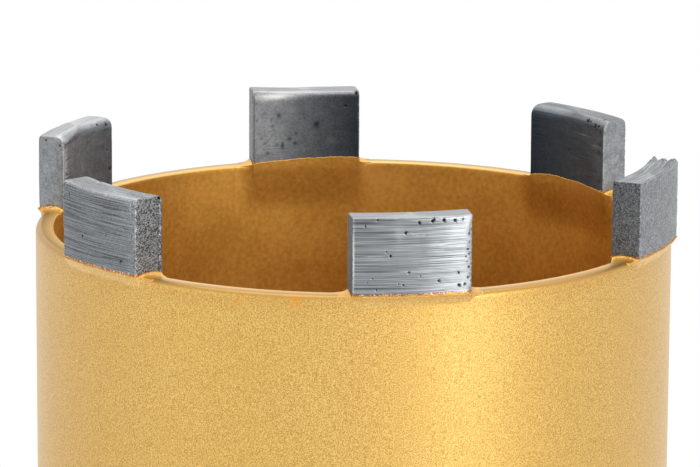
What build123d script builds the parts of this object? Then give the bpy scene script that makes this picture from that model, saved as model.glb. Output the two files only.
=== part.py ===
"""Diamond core bit, 102 mm cutting diameter: a thin steel barrel with six sintered diamond segments
brazed to its rim, closed at the back by a turned base plate that carries a threaded hub.

Units are millimetres. The origin is the centre of the hub's end face, where the drill spindle's
shoulder seats, and +Z runs along the bit towards the cutting end.
"""

import os
from math import asin, degrees

from build123d import *

# ---- cutting end -------------------------------------------------------------------------------
cutting_diameter = 102.0  # over the segments' outer faces
segment_count = 6
segment_length = 18.0  # along the rim, end face to end face
segment_thickness = 4.5  # radial
segment_height = 12.0
segment_outer_crown = 0.9  # radius worn on the top outer edge
segment_inner_crown = 1.4  # radius worn on the top inner edge
segment_end_crown = 0.7  # radius on the top edges of the two end faces
segment_corner = 0.25  # radius on the upright corners

# ---- barrel ------------------------------------------------------------------------------------
side_clearance = 1.0  # how far the segments stand out of the barrel, so that it runs free in its cut
barrel_wall = 2.8
barrel_length = 144.0
rim_outer_round = 0.45
rim_inner_round = 0.3

# ---- braze joint under each segment ------------------------------------------------------------
braze_film = 0.1  # thickness between rim and segment
braze_end_radius = 1.4  # hollow fillet where a segment's end meets the rim
braze_end_setback = 0.5  # how far the end fillets' tops stand in from the segment's faces
braze_drop = 2.0  # how far the bead runs down the barrel, outside and inside

# ---- base plate --------------------------------------------------------------------------------
flange_thickness = 5.0
flange_back_round = 1.5
spigot_depth = 6.0  # the part of the plate that stands inside the barrel
spigot_clearance = 0.05
spigot_lead = 0.8
weld_groove = 1.8  # chamfer on each side of the joint between barrel and flange
weld_crown = 0.6  # how far the weld bead stands out of its groove

# ---- threaded hub, 1 1/4 in - 7 UNC female -----------------------------------------------------
hub_across_flats = 41.0
hexagon_height = 20.0
hexagon_corner_chamfer = 1.6  # axial height of the chamfer that trims the hexagon's corners
hub_body_diameter = 48.0
hub_height = 34.0  # end face to the back of the base plate
thread_minor_diameter = 28.2  # tapping bore
thread_mouth_chamfer = 2.0
thread_depth = 28.0  # end face to the end of full thread
relief_diameter = 33.0  # run-out groove at the end of the thread
relief_width = 3.0
passage_diameter = 25.0  # way from the spindle into the barrel, for water or dust
hub_spigot_diameter = 34.0
hub_spigot_clearance = 0.05
hub_spigot_step = 1.0  # how far the hub's spigot stops short of the plate's front
hub_weld_leg = 3.5
hub_weld_radius = 6.0  # radius of the weld bead's bulged face

# ---- worked out from the sizes above -----------------------------------------------------------
cutting_radius = cutting_diameter / 2
segment_inner_radius = cutting_radius - segment_thickness
barrel_radius = cutting_radius - side_clearance
barrel_bore_radius = barrel_radius - barrel_wall
flange_front = hub_height + flange_thickness
plate_front = flange_front + spigot_depth
rim_level = flange_front + barrel_length
segment_level = rim_level + braze_film
segment_pitch = 360 / segment_count
half_length = segment_length / 2
hub_spigot_radius = hub_spigot_diameter / 2
hub_body_radius = hub_body_diameter / 2
thread_radius = thread_minor_diameter / 2
relief_end = thread_depth + relief_width

os.makedirs("parts", exist_ok=True)


def save(builder, name):
    """Label a finished piece and write it to its own STEP file."""
    builder.part.label = name
    export_step(builder.part, f"parts/{name}.step")


def radial_plane(angle):
    """Upright plane through the axis: local x runs outwards and local y is up.
    Angle 0 faces -Y and it grows anticlockwise seen from the cutting end."""
    return Plane(origin=(0, 0, 0), x_dir=(0, -1, 0), z_dir=(-1, 0, 0)).rotated((0, 0, angle))


def tangent_plane(angle):
    """Upright plane on the axis that faces outwards: local x runs along the rim, local y is up."""
    return Plane(origin=(0, 0, 0), x_dir=(1, 0, 0), z_dir=(0, -1, 0)).rotated((0, 0, angle))


# ---- barrel ------------------------------------------------------------------------------------
with BuildPart() as barrel:
    with BuildSketch(Plane.XY.offset(flange_front)):
        Circle(barrel_radius)
        Circle(barrel_bore_radius, mode=Mode.SUBTRACT)
    extrude(amount=barrel_length)
    rim_edges = barrel.edges().group_by(Axis.Z)[-1].sort_by(SortBy.RADIUS)
    foot_edges = barrel.edges().group_by(Axis.Z)[0].sort_by(SortBy.RADIUS)
    fillet(rim_edges[0], radius=rim_inner_round)
    fillet(rim_edges[-1], radius=rim_outer_round)
    chamfer(foot_edges[-1], length=weld_groove)
save(barrel, "barrel")


# ---- diamond segments and their braze joints ---------------------------------------------------
def make_segment(angle):
    """One sintered segment: a curved block with parallel ends, worn round along its top."""
    sweep = degrees(asin(half_length / segment_inner_radius)) + 2
    middle_radius = cutting_radius - segment_thickness / 2
    middle_level = segment_level + segment_height / 2
    with BuildPart() as segment:
        with BuildSketch(Plane.XY.offset(segment_level).rotated((0, 0, angle))) as plan:
            Circle(cutting_radius)
            Circle(segment_inner_radius, mode=Mode.SUBTRACT)
            with Locations((0, -cutting_radius)):
                Rectangle(segment_length, cutting_diameter, mode=Mode.INTERSECT)
            fillet(plan.vertices(), radius=segment_corner)
        extrude(amount=segment_height)
        with BuildSketch(radial_plane(angle - sweep)) as profile:
            with Locations((middle_radius, middle_level)):
                Rectangle(segment_thickness, segment_height)
            outer_corner = profile.vertices().group_by(Axis.Y)[-1].sort_by(Axis.X)[-1]
            fillet(outer_corner, radius=segment_outer_crown)
            inner_corner = profile.vertices().group_by(Axis.Y)[-1].sort_by(Axis.X)[0]
            fillet(inner_corner, radius=segment_inner_crown)
        revolve(axis=Axis.Z, revolution_arc=2 * sweep, mode=Mode.INTERSECT)
        with BuildSketch(tangent_plane(angle)) as side:
            with Locations((0, middle_level)):
                Rectangle(segment_length, segment_height)
            fillet(side.vertices().group_by(Axis.Y)[-1], radius=segment_end_crown)
        extrude(amount=cutting_diameter, mode=Mode.INTERSECT)
    return segment


def make_braze(angle):
    """The braze under one segment: a film on the rim, a bead down each side of the barrel and
    a hollow fillet at each end."""
    reach = half_length + braze_end_radius
    sweep = degrees(asin(reach / segment_inner_radius)) + 2
    fillet_top = rim_level + braze_end_radius
    bead_foot = rim_level - braze_drop
    with BuildPart() as braze:
        with BuildSketch(radial_plane(angle - sweep)):
            with BuildLine():
                Polyline(
                    (barrel_bore_radius, bead_foot),
                    (barrel_radius, bead_foot),
                    (cutting_radius, segment_level),
                    (cutting_radius - braze_end_setback, fillet_top),
                    (segment_inner_radius + braze_end_setback, fillet_top),
                    (segment_inner_radius, segment_level),
                    close=True,
                )
            make_face()
        revolve(axis=Axis.Z, revolution_arc=2 * sweep)
        with BuildSketch(tangent_plane(angle)):
            with BuildLine():
                RadiusArc((-reach, rim_level), (-half_length, fillet_top), -braze_end_radius)
                Polyline(
                    (-half_length, fillet_top),
                    (-half_length, segment_level),
                    (half_length, segment_level),
                    (half_length, fillet_top),
                )
                RadiusArc((half_length, fillet_top), (reach, rim_level), -braze_end_radius)
                Polyline(
                    (reach, rim_level),
                    (half_length, bead_foot),
                    (-half_length, bead_foot),
                    (-reach, rim_level),
                )
            make_face()
        extrude(amount=cutting_diameter, mode=Mode.INTERSECT)
        add(barrel.part, mode=Mode.SUBTRACT)
    return braze


for number in range(segment_count):
    save(make_segment(number * segment_pitch), f"segment_{number + 1}")
    save(make_braze(number * segment_pitch), f"braze_{number + 1}")

# ---- base plate --------------------------------------------------------------------------------
with BuildPart() as base_plate:
    with BuildSketch(Plane.XY.offset(hub_height)):
        Circle(barrel_radius)
    extrude(amount=flange_thickness)
    fillet(base_plate.edges().group_by(Axis.Z)[0], radius=flange_back_round)
    chamfer(base_plate.edges().group_by(Axis.Z)[-1], length=weld_groove)
    with BuildSketch(Plane.XY.offset(flange_front)):
        Circle(barrel_bore_radius - spigot_clearance)
    extrude(amount=spigot_depth)
    chamfer(base_plate.edges().group_by(Axis.Z)[-1], length=spigot_lead)
    with BuildSketch(Plane.XY.offset(hub_height)):
        Circle(hub_spigot_radius + hub_spigot_clearance)
    extrude(amount=flange_thickness + spigot_depth, mode=Mode.SUBTRACT)
save(base_plate, "base_plate")

# ---- threaded hub ------------------------------------------------------------------------------
with BuildPart() as hub:
    with BuildSketch():
        RegularPolygon(hub_across_flats / 2, 6, major_radius=False)
    extrude(amount=hexagon_height)
    with BuildSketch(Plane.XZ):
        with BuildLine():
            Polyline(
                (0, 0),
                (hub_across_flats / 2, 0),
                (hub_body_radius, hexagon_corner_chamfer),
                (hub_body_radius, hexagon_height),
                (0, hexagon_height),
                close=True,
            )
        make_face()
    revolve(axis=Axis.Z, mode=Mode.INTERSECT)
    with BuildSketch(Plane.XY.offset(hexagon_height)):
        Circle(hub_body_radius)
    extrude(amount=hub_height - hexagon_height)
    with BuildSketch(Plane.XY.offset(hub_height)):
        Circle(hub_spigot_radius)
    extrude(amount=plate_front - hub_spigot_step - hub_height)
    with BuildSketch(Plane.XZ):
        with BuildLine():
            Polyline(
                (0, 0),
                (thread_radius + thread_mouth_chamfer, 0),
                (thread_radius, thread_mouth_chamfer),
                (thread_radius, thread_depth),
                (relief_diameter / 2, thread_depth),
                (relief_diameter / 2, relief_end),
                (passage_diameter / 2, relief_end),
                (passage_diameter / 2, plate_front),
                (0, plate_front),
                close=True,
            )
        make_face()
    revolve(axis=Axis.Z, mode=Mode.SUBTRACT)
save(hub, "hub")

# ---- weld beads --------------------------------------------------------------------------------
with BuildPart() as base_weld:
    with BuildSketch(Plane.XZ):
        with BuildLine():
            groove = Polyline(
                (barrel_radius, flange_front - weld_groove),
                (barrel_radius - weld_groove, flange_front),
                (barrel_radius, flange_front + weld_groove),
            )
            SagittaArc(groove @ 1, groove @ 0, weld_crown)
        make_face()
    revolve(axis=Axis.Z)
save(base_weld, "base_weld")

with BuildPart() as hub_weld:
    with BuildSketch(Plane.XZ):
        with BuildLine():
            corner = Polyline(
                (hub_body_radius, hub_height - hub_weld_leg),
                (hub_body_radius, hub_height),
                (hub_body_radius + hub_weld_leg, hub_height),
            )
            RadiusArc(corner @ 1, corner @ 0, hub_weld_radius)
        make_face()
    revolve(axis=Axis.Z)
save(hub_weld, "hub_weld")
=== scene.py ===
# %% [markdown]
# # A diamond core bit
# A core bit is a steel tube, the barrel, with hard segments brazed to its rim. A core drill turns it,
# the segments grind a ring out of stone or concrete, and the core is left standing inside the tube.
# This lesson dresses a finished CAD model of such a bit. The model's solids give every size and place,
# and Blender adds what the solids leave out: the worn, pitted segments, the braze that crept up around
# them, the weld beads, the hub's thread, and the finish of each surface.

# %% Load the solids
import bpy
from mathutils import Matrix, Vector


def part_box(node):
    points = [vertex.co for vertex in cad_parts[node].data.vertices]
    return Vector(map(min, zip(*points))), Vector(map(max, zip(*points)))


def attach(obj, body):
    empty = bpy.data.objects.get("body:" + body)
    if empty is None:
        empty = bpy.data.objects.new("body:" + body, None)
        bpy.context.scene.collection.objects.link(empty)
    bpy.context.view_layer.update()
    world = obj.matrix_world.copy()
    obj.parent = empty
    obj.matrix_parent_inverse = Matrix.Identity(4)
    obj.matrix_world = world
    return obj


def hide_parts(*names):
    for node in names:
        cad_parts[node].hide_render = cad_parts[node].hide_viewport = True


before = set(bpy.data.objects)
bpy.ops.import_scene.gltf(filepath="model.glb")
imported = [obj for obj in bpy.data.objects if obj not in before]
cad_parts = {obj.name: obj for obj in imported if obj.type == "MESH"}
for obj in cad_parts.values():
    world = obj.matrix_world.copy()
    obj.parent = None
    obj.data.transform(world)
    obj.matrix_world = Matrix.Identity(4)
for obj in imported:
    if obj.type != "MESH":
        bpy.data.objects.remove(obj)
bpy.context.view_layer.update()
print("loaded", len(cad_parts), "nodes")

# %% The tools of the lesson
import math
from functools import partial

import bpy
import numpy as np
from mathutils import Matrix, Vector

MM = 0.001  # Blender works in metres here, and the sizes below are in millimetres

# %% [markdown]
# ## Sizes
# The solids are measured once, and every piece is placed from these numbers, so a piece that is made
# here always sits on the part that carries it. The two sizes that a box can't show, the wall and the
# segment's thickness, are written as they are on the real bit.

# %% Measure the solids
rim_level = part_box("barrel")[1].z / MM
foot_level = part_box("barrel")[0].z / MM
barrel_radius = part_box("barrel")[1].x / MM
barrel_wall = 2.8
bore_radius = barrel_radius - barrel_wall
cutting_radius = -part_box("segment_1")[0].y / MM
half_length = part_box("segment_1")[1].x / MM
segment_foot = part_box("segment_1")[0].z / MM
segment_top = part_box("segment_1")[1].z / MM
segment_thickness = 4.5
inner_radius = cutting_radius - segment_thickness
segment_nodes = sorted(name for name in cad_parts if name.startswith("segment_"))
segment_pitch = 360 / len(segment_nodes)
print("rim at", round(rim_level, 2), "mm, barrel radius", round(barrel_radius, 2), "mm")
print("segments:", segment_nodes, "top at", round(segment_top, 2), "mm")

# %% [markdown]
# ## Small helpers
# An operator acts on whatever is selected, so each step first selects only its own piece. Points are
# read and written all at once as a numpy table in millimetres, which is much faster than a loop.


# %% Select, read and move
def select_only(piece):
    """Makes piece the one selected and active object."""
    bpy.ops.object.select_all(action="DESELECT")
    piece.select_set(True)
    bpy.context.view_layer.objects.active = piece


def edit_mesh(piece, component="VERT"):
    """Goes into edit mode on piece, with nothing selected."""
    select_only(piece)
    bpy.ops.object.mode_set(mode="EDIT")
    bpy.ops.mesh.select_mode(type=component)
    bpy.ops.mesh.select_all(action="DESELECT")


def leave_edit():
    bpy.ops.object.mode_set(mode="OBJECT")


def read_points(piece, field="co"):
    """The piece's vertices, or their normals, as a table of three columns."""
    table = np.empty(len(piece.data.vertices) * 3)
    piece.data.vertices.foreach_get(field, table)
    table = table.reshape(-1, 3)
    return table / MM if field == "co" else table


def write_points(piece, table):
    piece.data.vertices.foreach_set("co", (table * MM).ravel())
    piece.data.update()


def apply_modifier(piece, kind, **settings):
    """Adds one modifier with its settings and applies it at once."""
    select_only(piece)
    modifier = piece.modifiers.new(kind.lower(), kind)
    for name, value in settings.items():
        setattr(modifier, name, value)
    bpy.ops.object.modifier_apply(modifier=modifier.name)


def smooth_step(low, high, values):
    """0 below low, 1 above high, and an S-shaped rise between them."""
    t = np.clip((values - low) / (high - low), 0, 1)
    return t * t * (3 - 2 * t)


# %% [markdown]
# A ring, a tube or a bead is a sheet that closes on itself. A grid primitive is such a sheet laid
# flat: its columns go around and its rows go along. Rolling it up means giving each grid point a new
# place, merging the edges that now meet, and turning all the faces outwards.


# %% Roll a grid into a closed shape
def roll_grid(name, around, along, shape, close_ends=False):
    """A grid of around by along faces, rolled up by shape(u, t), where u and t run from 0 to 1."""
    bpy.ops.object.select_all(action="DESELECT")
    bpy.ops.mesh.primitive_grid_add(x_subdivisions=around, y_subdivisions=along, size=1)
    piece = bpy.context.object
    piece.name = name
    flat = read_points(piece) * MM + 0.5
    write_points(piece, np.column_stack(shape(flat[:, 0], flat[:, 1])))
    edit_mesh(piece)
    bpy.ops.mesh.select_all(action="SELECT")
    bpy.ops.mesh.remove_doubles(threshold=0.002 * MM)
    if close_ends:
        bpy.ops.mesh.select_all(action="DESELECT")
        bpy.ops.mesh.select_non_manifold()
        bpy.ops.mesh.edge_face_add()
        bpy.ops.mesh.select_all(action="SELECT")
    bpy.ops.mesh.normals_make_consistent(inside=False)
    leave_edit()
    return piece


def waves(angle, seed, count, falloff=0.7):
    """A smooth closed wobble around a circle, about -1 to 1: a few sine waves in random phase."""
    random = np.random.default_rng(seed)
    total = np.zeros_like(angle)
    for number in range(1, count + 1):
        total += number**-falloff * np.sin(number * angle + random.uniform(0, 2 * math.pi))
    return total / sum(number**-falloff for number in range(1, count + 1)) * 1.6

# %% [markdown]
# ## Finishes
# Colours are written as the sRGB hex values that a paint chart uses, and turned to the linear values
# that Blender computes with. One function adds a node, sets it and links it. Pattern sizes are real
# sizes: a texture's scale is one over the size of its grain in metres.


# %% Colour and node helpers
COLOURS = {"data_type": "RGBA", "output": 2}  # what makes a Mix node mix colours


def linear(hex_colour):
    """An sRGB hex colour such as "#DFB461" as linear red, green, blue and alpha."""
    channels = [int(hex_colour[i : i + 2], 16) / 255 for i in (1, 3, 5)]
    return [c / 12.92 if c <= 0.04045 else ((c + 0.055) / 1.055) ** 2.4 for c in channels] + [1.0]


def per(size_mm):
    """The texture scale whose grain is size_mm across."""
    return 1 / (size_mm * MM)


def add(tree, kind, *inputs, output=0, **settings):
    """Adds a shader node, sets it, links it and returns one of its outputs.

    inputs fill its sockets in order, or one dictionary fills them by number or name. Each is a
    value, a hex colour or the output that feeds the socket."""
    made = tree.nodes.new("ShaderNode" + kind)
    for name, value in settings.items():
        setattr(made, name, value)
    by_name = bool(inputs) and isinstance(inputs[0], dict)
    for socket, value in (inputs[0] if by_name else dict(enumerate(inputs))).items():
        if isinstance(value, bpy.types.NodeSocket):
            tree.links.new(value, made.inputs[socket])
        else:
            made.inputs[socket].default_value = linear(value) if isinstance(value, str) else value
    return made.outputs[output] if len(made.outputs) else None


def new_material(name):
    """An empty material, and the function that adds nodes to it."""
    material = bpy.data.materials.new(name)
    material.use_nodes = True
    material.node_tree.nodes.clear()
    return material, partial(add, material.node_tree)


def around_axis(node, place):
    """The x, y and z of a place, and its distance from the axis."""
    x, y, z = node("SeparateXYZ", place).node.outputs
    flat = node("CombineXYZ", x, y, 0.0)
    return x, y, z, node("VectorMath", flat, operation="LENGTH", output="Value")


# %% [markdown]
# ### Gold paint
# The barrel is sprayed with a metallic paint: aluminium flakes under a gold-tinted, clear lacquer.
# From arm's length the flakes read as a fine, slightly lighter and darker grain, each flake lying at
# its own small angle. Two patterns make it. The cells of a Voronoi pattern are the single flakes, each
# with its own brightness, gloss and tilt, and a noise of nearly the same size is the way in which they
# clump. The real flakes are about 0.05 mm, too fine to show, so they are drawn at 0.15 mm.
# Inside the tube the spray is a thin mist that lies smoother, and it is a little redder.
# The lacquer is a coat, and it is what turns the steep sides of the tube pale.


# %% Gold paint
flake_size = 0.15
clump_size = 0.17
heat_stains = [(-19.9, -0.9, 1.1), (-10.9, 0.6, 0.7), (-30, -1.6, 0.6)]  # bearing, level, size


def make_gold_paint(name, bare_specks, rim_light_colours, painted_lip_light):
    """Metallic gold paint. bare_specks is how much of the braze shines through, from 0 to 1.

    The two rim colours are a painted highlight at the inner edge and painted shade at the outer edge of
    the rim's top, and the last argument is how much painted highlight brightens paint under a lip."""
    material, node = new_material(name)
    place = node("TexCoord", output="Object")
    *_, z, radius = around_axis(node, place)
    rise = node("Math", z, rim_level * MM, operation="SUBTRACT")
    normal = node("NewGeometry", output="Normal")
    facing_up = node("SeparateXYZ", normal, output=2)
    off_bore = node("MapRange", radius, (bore_radius + 0.3) * MM, (bore_radius + 1.3) * MM)
    below = node("MapRange", z, foot_level * MM, (foot_level - 0.1) * MM)
    outside = node("Math", off_bore, below, operation="MAXIMUM")
    flakes = node("TexVoronoi", {"Vector": place, "Scale": per(flake_size)}, output="Color")
    flake_shade, flake_gloss, flake_hue = node("SeparateColor", flakes).node.outputs
    broad, mottle, specks, clumps = (
        node("TexNoise", {"Vector": place, "Scale": per(size), "Detail": detail})
        for size, detail in ((14, 2.0), (0.7, 2.0), (0.3, 2.0), (clump_size, 0.0))
    )
    # The flakes outside, and the mist inside.
    clump_shade = node("MapRange", clumps, 0.34, 0.66)
    even_shade = node("Mix", {0: 0.8, 2: flake_shade, 3: clump_shade})
    soft_shade = node("Mix", {0: outside, 2: 0.45, 3: even_shade})
    flaked = node("Mix", {0: soft_shade, 6: "#B08830", 7: "#F0C976"}, **COLOURS)
    hue = node("MapRange", {0: flake_hue, 4: 0.22})
    flaked = node("Mix", {0: hue, 6: flaked, 7: "#DCA96E"}, **COLOURS)
    broad_part = node("MapRange", broad, 0.35, 0.65, 0.0, 0.15)
    flaked = node("Mix", {0: broad_part, 6: flaked, 7: "#CFA044"}, **COLOURS)
    mist_shade = node("MapRange", node("Math", mottle, broad, operation="ADD"), 0.75, 1.25)
    mist = node("Mix", {0: mist_shade, 6: "#D29C40", 7: "#F2BC5A"}, **COLOURS)
    colour = node("Mix", {0: outside, 6: mist, 7: flaked}, **COLOURS)
    # Towards the rim the paint is browner in patches. The rim's top gets a painted highlight at its
    # inner edge and painted shade at its outer edge.
    near_rim = node(
        "MapRange", rise, -4.0 * MM, 0.5 * MM, 0.0, 0.45, interpolation_type="SMOOTHSTEP"
    )
    patchy = node("Math", near_rim, broad, operation="MULTIPLY")
    at_top = node("MapRange", rise, -0.8 * MM, -0.2 * MM, 0.0, 0.9)
    upward = node("MapRange", facing_up, 0.2, 0.6)
    rim_top = node("Math", at_top, upward, operation="MULTIPLY")
    off_edge = node("MapRange", radius, (bore_radius + 0.4) * MM, (bore_radius + 1.8) * MM)
    painted_rim_light = node("Mix", {0: off_edge, 6: rim_light_colours[0], 7: rim_light_colours[1]}, **COLOURS)
    layers = [(patchy, "#B87C34"), (rim_top, painted_rim_light)]
    # Flux burnt the paint to a deeper orange in a few places.
    for bearing, level, size in heat_stains:
        angle = math.radians(bearing)
        spot = Vector((math.sin(angle), -math.cos(angle), 0)) * barrel_radius
        spot.z = rim_level + level
        distance = node("VectorMath", place, spot * MM, operation="DISTANCE", output="Value")
        ragged = node("Math", mottle, 2.4 * size * MM, distance, operation="MULTIPLY_ADD")
        stain = node("MapRange", ragged, 1.2 * size * MM, 2.6 * size * MM, 0.6, 0.0)
        layers.append((stain, "#DF9524"))
    # Paint that faces down under a bead's lip gets a painted highlight, for light thrown up from below.
    painted_lip_highlight = node("MapRange", facing_up, -0.05, -0.5, 0.0, painted_lip_light)
    painted_lip_highlight = node("Math", painted_lip_highlight, outside, operation="MULTIPLY")
    layers.append((painted_lip_highlight, node("Mix", {0: soft_shade, 6: "#DCA94C", 7: "#FFE59C"}, **COLOURS)))
    # Bare braze shows as pale specks at the joint.
    speck_part = node("MapRange", specks, 0.6, 0.7, 0.0, bare_specks)
    at_joint = node("MapRange", rise, -0.5 * MM, 0.1 * MM)
    outer_joint = node("Math", at_joint, outside, operation="MULTIPLY")
    layers.append((node("Math", speck_part, outer_joint, operation="MULTIPLY"), "#F1DACB"))
    # Where a fillet has climbed a segment's end, the braze shows brown and white through the paint.
    crest = node("MapRange", rise, 0.2 * MM, 0.7 * MM, 0.0, bare_specks)
    crest = node("Math", crest, outside, operation="MULTIPLY")
    fleck_shade = node("MapRange", specks, 0.5, 0.6)
    layers.append((crest, node("Mix", {0: fleck_shade, 6: "#C07428", 7: "#F6E6DA"}, **COLOURS)))
    for part, over in layers:
        colour = node("Mix", {0: part, 6: colour, 7: over}, **COLOURS)
    # Each flake's tilt, and the orange peel of a sprayed film.
    tilt = node("VectorMath", flakes, (0.5, 0.5, 0.5), operation="SUBTRACT")
    tilt_size = node("MapRange", {0: outside, 3: 0.04, 4: 0.06})
    tilt = node("VectorMath", {0: tilt, "Scale": tilt_size}, operation="SCALE")
    tilted = node("VectorMath", tilt, normal, operation="ADD")
    unit = node("VectorMath", tilted, operation="NORMALIZE")
    orange_peel = node(
        "Bump", {"Height": mottle, "Strength": 0.04, "Distance": 0.02 * MM, "Normal": unit}
    )
    paint = node(
        "BsdfPrincipled",
        {
            "Base Color": colour,
            "Metallic": 0.85,
            "Roughness": node("MapRange", {0: flake_gloss, 3: 0.4, 4: 0.52}),
            "Coat Weight": 0.38,
            "Coat Roughness": 0.3,
            "Normal": orange_peel,
        },
    )
    node("OutputMaterial", paint)
    return material


# Each paint's two rim colours are painted highlight and painted shade, and its last number is the
# painted highlight under a lip.
gold_paint = make_gold_paint("metallic gold paint", 0.0, ("#FACD7C", "#BC9044"), 0.0)
braze_paint = make_gold_paint("gold paint over braze", 0.75, ("#FFC860", "#F2B03A"), 0.6)
print("made", gold_paint.name, "and", braze_paint.name)

# %% [markdown]
# ### Sintered segment
# A segment is metal powder and diamond grit, pressed and sintered. Where a wheel has ground it, the
# faces carry fine lines that run along the rim, and light that falls on them is spread across the
# lines and hardly along them. Its ends keep the grainy skin of the mould, salt and pepper to the
# eye. Pits, where grit or pores broke out, have the shade in them painted dark, and the corners are
# polished bright and carry a painted highlight. Which is which comes with the mesh, as numbers on its
# points for where it is ground, how lined and how coarse it is, its pits, its edges and its tone, so
# the pattern stays with the shape. A tone above 0 darkens the metal and one below 0 pales it: partly
# its own tone, and partly painted shade and painted highlight for how the light falls on each face.
# The lines follow the rim's curve because they are drawn on the angle around the axis. Sprayed paint
# ends in a ragged line just above each segment's foot.


# %% Sintered metal
def make_sintered_metal():
    """Grainy metal, ground along the rim where the points say so, with paint at its foot."""
    material, node = new_material("sintered metal bond")
    place = node("TexCoord", output="Object")
    # The angle jumps where it starts, so the pattern is turned until the jump falls between segments.
    turned = node("Mapping", {0: place, "Rotation": (0, 0, math.radians(segment_pitch / 2))})
    x, y, z, radius = around_axis(node, turned)
    angle = node("Math", y, x, operation="ARCTAN2")
    along = node("Math", angle, cutting_radius * MM, operation="MULTIPLY")
    rim_place = node("CombineXYZ", along, radius, z)
    lines = []
    for length, width, detail in ((26, 0.085, 0.0), (14, 0.2, 1.0), (9, 0.17, 0.0), (8, 0.14, 0.0)):
        stretch = (per(length), per(width), per(width))
        drawn_out = node("VectorMath", rim_place, stretch, operation="MULTIPLY")
        lines.append(node("TexNoise", {"Vector": drawn_out, "Scale": 1.0, "Detail": detail}))
    fine, coarse, deep, bright = lines
    sizes = ((4, 1.0), (0.4, 1.0), (1.6, 2.0), (5, 2.0), (0.3, 2.0), (0.6, 3.0), (0.25, 1.0))
    patch, soft, softer, contact, wear_break, paint_edge, fleck = (
        node("TexNoise", {"Vector": place, "Scale": per(size), "Detail": detail})
        for size, detail in sizes
    )
    ground, lined, grit, pit_shade, edge, tone_and_shade = (
        node("Attribute", output="Fac", attribute_name=name)
        for name in ("ground", "lined", "grit", "pit_shade", "edge", "tone_and_shade")
    )
    # The wheel's lines show more on coarse metal, and in patches.
    both_lines = node("Mix", {0: 0.25, 2: fine, 3: coarse})
    centred = node("Math", both_lines, 0.5, operation="SUBTRACT")
    by_grit = node("MapRange", grit, 0.0, 1.0, 1.2, 14.0)
    by_patch = node("MapRange", patch, 0.35, 0.65, 0.6, 1.3)
    contrast = node("Math", by_grit, by_patch, operation="MULTIPLY")
    line_shade = node("Math", centred, contrast, 0.5, operation="MULTIPLY_ADD")
    # Here and there a coarser grain of the wheel cut a single darker or brighter line.
    streak_depth = node("MapRange", grit, 0.0, 1.0, 0.3, 0.95)
    streaks = node("Math", grit, 0.06, deep, operation="MULTIPLY_ADD")
    dark_streak = node("MapRange", streaks, 0.63, 0.71, 0.0, streak_depth)
    bright_streak = node("MapRange", bright, 0.32, 0.26, 0.0, 0.5)
    # The grain of the mould, sharp where the grit is coarse and calmer where the wheel went over it.
    cells = node("TexVoronoi", {"Vector": place, "Scale": per(0.17)}, output="Color")
    grain = node("SeparateColor", cells)
    soft_grain = node("Mix", {0: 0.5, 2: soft, 3: softer})
    calmed = node("Math", ground, -0.6, 1.0, operation="MULTIPLY_ADD")
    sharpness = node("Math", grit, calmed, operation="MULTIPLY")
    sharp_grain = node("MapRange", grain, 0.1, 1.0)
    grain_shade = node("Mix", {0: sharpness, 2: soft_grain, 3: sharp_grain})
    # Where the wheel touched lightly, the grain shows between the lines.
    touched = node("MapRange", node("Math", lined, contact, operation="ADD"), 0.85, 1.15)
    line_part = node("Math", ground, touched, operation="MULTIPLY")
    ground_metal = node("Mix", {0: line_shade, 6: "#666A6C", 7: "#AFB3B6"}, **COLOURS)
    ground_metal = node("Mix", {0: dark_streak, 6: ground_metal, 7: "#303437"}, **COLOURS)
    ground_metal = node("Mix", {0: bright_streak, 6: ground_metal, 7: "#DADDDF"}, **COLOURS)
    colour = node("Mix", {0: grain_shade, 6: "#505456", 7: "#D0D3D5"}, **COLOURS)
    edge_break = node("Mix", {0: grit, 2: 0.45, 3: node("MapRange", wear_break, 0.4, 0.6)})
    # Paint from below, then a copper-brown line of flux and bare braze with a few pale flecks.
    rise = node("Math", z, rim_level * MM, operation="SUBTRACT")
    ragged = node("Math", paint_edge, -0.9 * MM, rise, operation="MULTIPLY_ADD")
    fleck_part = node("MapRange", fleck, 0.52, 0.6)
    layers = [
        (line_part, ground_metal),
        # The tone darkens or pales the metal: partly its own tone, partly painted shade and painted
        # highlight.
        (node("MapRange", tone_and_shade, 0.0, 1.0), "#132634"),
        (node("MapRange", tone_and_shade, 0.0, -1.0), "#F0F1F1"),
        # Corners brightened: polished wear and a painted highlight.
        (node("Math", edge, edge_break, operation="MULTIPLY"), "#C2C5C7"),
        # Painted shade in the pits.
        (pit_shade, "#1E2022"),
        (
            node("MapRange", ragged, 0.06 * MM, 0.14 * MM, 0.85, 0.0),
            node("Mix", {0: fleck_part, 6: "#A85F30", 7: "#EBD3C6"}, **COLOURS),
        ),
        (node("MapRange", ragged, -0.14 * MM, -0.06 * MM, 1.0, 0.0), "#D9A04A"),
    ]
    for part, over in layers:
        colour = node("Mix", {0: part, 6: colour, 7: over}, **COLOURS)
    line_gloss = node("MapRange", fine, 0.3, 0.7, 0.36, 0.46)
    relief = node("Mix", {0: line_part, 2: grain, 3: fine})
    metal = node(
        "BsdfPrincipled",
        {
            "Base Color": colour,
            "Metallic": 0.92,
            "Roughness": node("Mix", {0: line_part, 2: 0.6, 3: line_gloss}),
            "Anisotropic": 0.8,
            "Anisotropic Rotation": 0.25,
            "Tangent": node("Tangent", direction_type="RADIAL", axis="Z"),
            "Normal": node("Bump", {"Height": relief, "Strength": 0.4, "Distance": 0.03 * MM}),
        },
    )
    node("OutputMaterial", metal)
    return material


sintered_metal = make_sintered_metal()
print("made", sintered_metal.name)

# %% [markdown]
# ### Turned steel
# The thread and the end face of the hub are cut on a lathe after painting, so they are bare steel
# with fine rings around the axis.


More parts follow.
